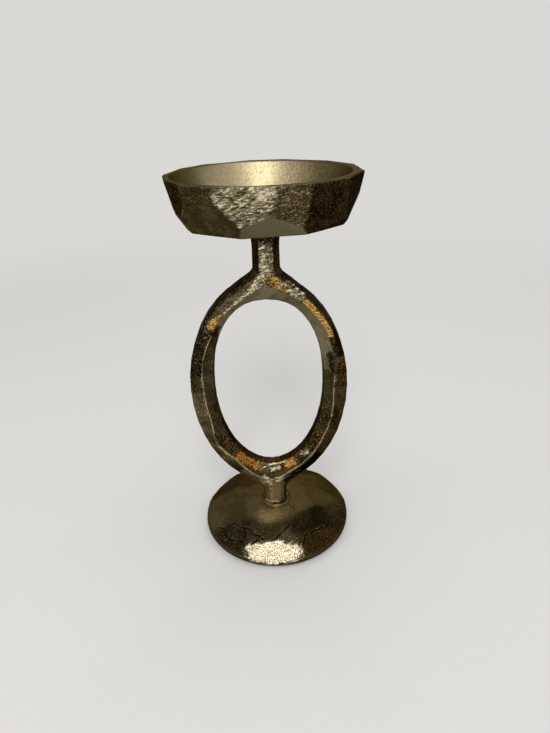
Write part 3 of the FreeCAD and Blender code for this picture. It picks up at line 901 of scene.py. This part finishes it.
def make_bowl():
    piece = remeshed("candle_bowl", "bowl_casting", bowl_voxel)
    mesh = piece.data
    points = read_points(mesh)
    below_rim = points[:, 2] < rim_level - extra_smooth_below_rim
    inside = cup_share(points, read_normals(mesh)) * below_rim
    soften(piece, cup_rounding, smoothing_weight * inside)
    soften(piece, bowl_rounding)
    points = read_points(mesh)
    normals = read_normals(mesh)
    lip = lip_share(points, normals)
    cup = cup_share(points, normals) * (1 - lip)
    ripple = np.clip(soft_spots(points, cup_ripple), 0, 1)
    store(mesh, "lip", lip)
    store(mesh, "cup", cup)
    store(mesh, "ripple", ripple)
    # The pale patch in the cup is a painted highlight.
    store(mesh, "pale", np.clip(soft_spots(points, cup_painted_highlight), 0, 1))
    facing, _ = nearest_facets("candle_bowl", points)
    values = facet_values(facing, bowl_facets, bowl_others)
    # painted highlight on the bowl's front facet, brighter and dimmer in spots
    values[:, 3] += (values[:, 3] > painted_highlight_from) * soft_spots(points, bowl_painted_highlight)
    values[:, 3] *= 1 - np.maximum(cup, lip)
    rough = 1 - (cup_calm - cup_ripple_relief * ripple) * np.maximum(cup, lip)
    dress(piece, "candle_bowl", values, rough, bowl_blend, full_share)
    mesh.materials.append(antique_brass("antique_brass_bowl", 0.22, 0.10, 0.13, True))
    return piece


def ring_sides(facing, middles):
    """Which side of the ring each facet is on, and its angle clockwise from the top."""
    across = middles[:, 0] - ring_middle.x
    rise = middles[:, 2] - ring_middle.z
    turn = np.arctan2(across, rise)
    outward = facing[:, 0] * np.sin(turn) + facing[:, 2] * np.cos(turn)
    level = np.abs(facing[:, 1])
    upper = (middles[:, 2] > upper_stem_level) & (level < stem_front)
    lower = middles[:, 2] < lower_stem_level
    beside = level < level_face
    cases = [upper, lower, beside & (outward > 0), beside,
             outward < inner_slant, outward > outer_slant]
    names = ["upper stem", "lower stem", "side", "inside", "inner", "outer"]
    return np.select(cases, names, "face"), np.degrees(turn)


def by_side(points, side, patches):
    """Strokes of the patches, each only on its own side of the ring, or on any side."""
    result = np.zeros(len(points))
    for name, strokes in patches.items():
        here = (side == name) | (name == "any")
        result[here] = np.maximum(result[here], near_strokes(points[here], strokes))
    return result


def within(values, span):
    low, high = span
    return (values > low) & (values < high)


def ridge_share(points, side, turn):
    """1 where the ring's ridges are rubbed bright, 0 where they stay dark."""
    left = smooth_step(*left_ridge_span, turn)
    right = smooth_step(*right_ridge_span, turn)
    result = np.where(turn < 0, left, right)
    result[(side == "outer") & within(turn, plain_outer_row)] = 0
    across = (points[:, 0] - ring_middle.x) / oval_half_width
    rise = (points[:, 2] - ring_middle.z) / oval_half_height
    beyond = np.hypot(across, rise) > plain_left_reach
    result[(side == "face") & within(turn, plain_left_face) & beyond] = 0
    result[points[:, 2] < ring_low.z + flare_height] = 0
    return result


def flared(points):
    """Points of the ring, with the outside of its two ends spread sideways a little."""
    across = np.hypot(points[:, 0], points[:, 1])
    spread = foot_flare * smooth_step(flare_height, 0, points[:, 2] - ring_low.z)
    spread += top_flare * smooth_step(top_flare_height, 0, ring_high.z - points[:, 2])
    spread *= smooth_step(*flare_span, across)
    result = points.copy()
    result[:, :2] *= (1 + spread / np.maximum(across, 1 * mm))[:, None]
    return result


def make_ring():
    piece = remeshed("ring_stem", "ring_casting", ring_voxel)
    mesh = piece.data
    soften(piece, casting_rounding)
    points = flared(read_points(mesh))
    write_points(mesh, points)
    facing, middles = nearest_facets("ring_stem", points)
    side, turn = ring_sides(facing, middles)
    behind = facing[:, 1] > behind_from
    flip = np.where(behind, -1, 1)
    turn = turn * flip
    values = np.zeros((len(points), 4))
    for name, start, end, *own in ring_zones:
        values[(side == name) & (turn >= start) & (turn <= end), :3] = own
    values[:, 0] += drawn(facing, 2, *ring_tone_spread)
    as_front = points * np.stack([flip, flip, np.ones(len(points))], axis=1)
    # darker for patina and for painted shade
    dark = by_side(as_front, side, ring_dark_and_painted_shade)
    values[:, 0] *= 1 - dark
    # bright metal: rubbed brass and painted highlights
    values[:, 3] = by_side(as_front, side, ring_wear_and_painted_highlight)
    gilt = by_side(as_front, side, ring_gilt)
    ends = np.minimum(ring_high.z - points[:, 2], points[:, 2] - ring_low.z)
    rough = smooth_step(0, calm_end, ends)
    ridged = ridge_share(points, side, turn)
    dress(piece, "ring_stem", values, rough, ring_blend, ring_side_share, gilt, None, ridged)
    mesh.materials.append(antique_brass("antique_brass_ring", 0.85, 0.10, 0.17))
    return piece


def make_base():
    piece = remeshed("base", "base_casting", base_voxel)
    mesh = piece.data
    soften(piece, casting_rounding)
    points = read_points(mesh)
    facing, _ = nearest_facets("base", points)
    values = facet_values(facing, base_facets, base_others)
    on_top = smooth_step(*base_top_span, facing[:, 2])
    # painted highlight on the foot's front, on faces that look up
    values[:, 3] = np.maximum(values[:, 3], near_strokes(points, base_painted_highlight) * on_top)
    values[:, 0] -= near_strokes(points, base_dark)
    # painted highlight round the stem's foot, and two lighter patches further right
    painted_glow = soft_spots(points, base_painted_glow)
    values[:, 0] += painted_glow
    values[:, 2] += painted_glow * painted_glow_glints
    vein = near_chains(points, base_veins)
    values[:, 2] += smooth_step(*crack_side_span, vein) * crack_side_glints
    under = smooth_step(*base_under_span, points[:, 2] - base_low.z)
    mating = smooth_step(*base_mating_span, points[:, 2] - foot_top)
    rough = base_relief * under * mating
    dress(piece, "base", values, rough, base_blend, full_share, None, vein)
    mesh.materials.append(antique_brass("antique_brass_base", 0.06, 0.05, 0.07))
    return piece


def make_hardware(node, material):
    piece = remeshed(node, node + "_metal", hardware_voxel)
    soften(piece, hardware_rounding)
    piece.data.materials.append(material)
    return piece


def make_felt_pad(node, material):
    """A felt disc with a crowned edge and a fibrous skin."""
    piece = remeshed(node, node + "_felt", felt_voxel)
    mesh = piece.data
    soften(piece, felt_rounding)
    points = read_points(mesh)
    points += read_normals(mesh) * layered(points, felt_fuzz)[:, None]
    points[:, 2] = np.maximum(points[:, 2], felt_lift)
    write_points(mesh, points)
    mesh.materials.append(material)
    return piece


def settle(piece, node):
    """Hangs a piece on the fixed body, in place of its node."""
    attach(piece, "root")
    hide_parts(node)


def make_object():
    settle(make_bowl(), "candle_bowl")
    settle(make_ring(), "ring_stem")
    settle(make_base(), "base")
    yellow_zinc = bright_steel("yellow_zinc", yellow_zinc_light, yellow_zinc_dull)
    zinc = bright_steel("zinc", zinc_light, zinc_dull)
    spring_steel = bright_steel("spring_steel", spring_steel_light, spring_steel_dull)
    settle(make_hardware("bowl_screw", yellow_zinc), "bowl_screw")
    settle(make_hardware("base_bolt", zinc), "base_bolt")
    settle(make_hardware("flat_washer", zinc), "flat_washer")
    settle(make_hardware("lock_washer", spring_steel), "lock_washer")
    felt_material = felt("felt")
    for node in sorted(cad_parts):
        if node.startswith("felt_pad_"):
            settle(make_felt_pad(node, felt_material), node)


# Stage: floor, lamps, backdrop colour and camera
floor_half_width = 4.0
floor_color = (0.74, 0.73, 0.71)
floor_shade = (0.71, 0.70, 0.68)
backdrop_color = (0.70, 0.69, 0.67)
ambient_color = (0.44, 0.44, 0.44)
floor_near = 0.28             # the floor is itself up to here, and the backdrop beyond
floor_far = 0.95
aim = Vector((0, 0, 0.12))
# Lamps: name, place, side of the square, watts
lamps = (
    ("key", (-0.03, -0.56, 0.80), 0.30, 2.6),
    ("left_fill", (-0.95, -0.10, 0.55), 0.60, 1.8),
    ("right_fill", (0.95, 0.05, 0.60), 0.60, 1.5),
    ("back_fill", (0.15, 0.95, 0.70), 0.60, 1.8),
    ("top", (0.0, 0.05, 1.10), 0.70, 2.0),
)


def seen_directly(tree):
    """1 for what the camera sees, also in a reflection or through glass, and 0 for light."""
    path = tree.nodes.new("ShaderNodeLightPath")
    seen = path.outputs["Is Camera Ray"]
    for name in ("Is Glossy Ray", "Is Transmission Ray"):
        node = tree.nodes.new("ShaderNodeMath")
        node.operation = "MAXIMUM"
        tree.links.new(seen, node.inputs[0])
        tree.links.new(path.outputs[name], node.inputs[1])
        seen = node.outputs[0]
    return seen


def make_floor():
    """A pale floor that turns into the plain backdrop away from the object."""
    half = floor_half_width
    mesh = bpy.data.meshes.new("floor")
    corners = [(-half, -half, 0), (half, -half, 0), (half, half, 0), (-half, half, 0)]
    mesh.from_pydata(corners, [], [(0, 1, 2, 3)])
    floor = new_mesh_object("floor", mesh)
    make = Material("pale_floor")
    fine = make.noise(3 * mm, 3.0, 0.6)
    color = make.mix(make.scale(fine, 0.3, 0.7, 0.0, 0.5), floor_color, floor_shade)
    make.finish(color, 0.85, 0.0)
    length = make.add("ShaderNodeVectorMath", operation="LENGTH")
    make.plug(length.inputs[0], make.place)
    away = make.scale(length.outputs["Value"], floor_near, floor_far)
    backdrop = make.add("ShaderNodeEmission")
    make.plug(backdrop.inputs["Color"], backdrop_color)
    mix = make.add("ShaderNodeMixShader")
    make.plug(mix.inputs[0], make.times(away, seen_directly(make.tree)))
    make.plug(mix.inputs[1], make.shader.outputs[0])
    make.plug(mix.inputs[2], backdrop.outputs[0])
    make.plug(make.output.inputs["Surface"], mix.outputs[0])
    mesh.materials.append(make.data)


def make_lamps():
    for name, place, side, watts in lamps:
        data = bpy.data.lights.new(name, "AREA")
        data.shape = "SQUARE"
        data.size = side
        data.energy = watts
        lamp = bpy.data.objects.new(name, data)
        lamp.location = place
        lamp.rotation_mode = "QUATERNION"
        lamp.rotation_quaternion = (aim - Vector(place)).to_track_quat("-Z", "Y")
        lamp.visible_camera = False
        bpy.context.scene.collection.objects.link(lamp)


def make_world():
    world = bpy.data.worlds.new("world")
    bpy.context.scene.world = world
    world.use_nodes = True
    tree = world.node_tree
    tree.nodes.clear()
    ambient = tree.nodes.new("ShaderNodeBackground")
    ambient.inputs["Color"].default_value = (*ambient_color, 1)
    backdrop = tree.nodes.new("ShaderNodeBackground")
    backdrop.inputs["Color"].default_value = (*backdrop_color, 1)
    mix = tree.nodes.new("ShaderNodeMixShader")
    tree.links.new(seen_directly(tree), mix.inputs["Fac"])
    tree.links.new(ambient.outputs[0], mix.inputs[1])
    tree.links.new(backdrop.outputs[0], mix.inputs[2])
    output = tree.nodes.new("ShaderNodeOutputWorld")
    tree.links.new(mix.outputs[0], output.inputs["Surface"])


def make_camera():
    ahead = Vector((
        math.sin(camera_yaw) * math.cos(camera_pitch),
        math.cos(camera_yaw) * math.cos(camera_pitch),
        -math.sin(camera_pitch)))
    level = Vector((math.cos(camera_yaw), -math.sin(camera_yaw), 0))
    upright = level.cross(ahead)
    right = level * math.cos(camera_roll) + upright * math.sin(camera_roll)
    up = upright * math.cos(camera_roll) - level * math.sin(camera_roll)
    data = bpy.data.cameras.new("camera")
    data.lens = camera_lens
    data.sensor_width = camera_sensor
    data.clip_start = 10 * mm
    camera = bpy.data.objects.new("camera", data)
    turn = Matrix((right, up, -ahead)).transposed().to_4x4()
    camera.matrix_world = Matrix.Translation(camera_place) @ turn
    bpy.context.scene.collection.objects.link(camera)
    bpy.context.scene.camera = camera


make_object()
make_floor()
make_lamps()
make_world()
make_camera()
bpy.context.scene.view_settings.view_transform = "Standard"
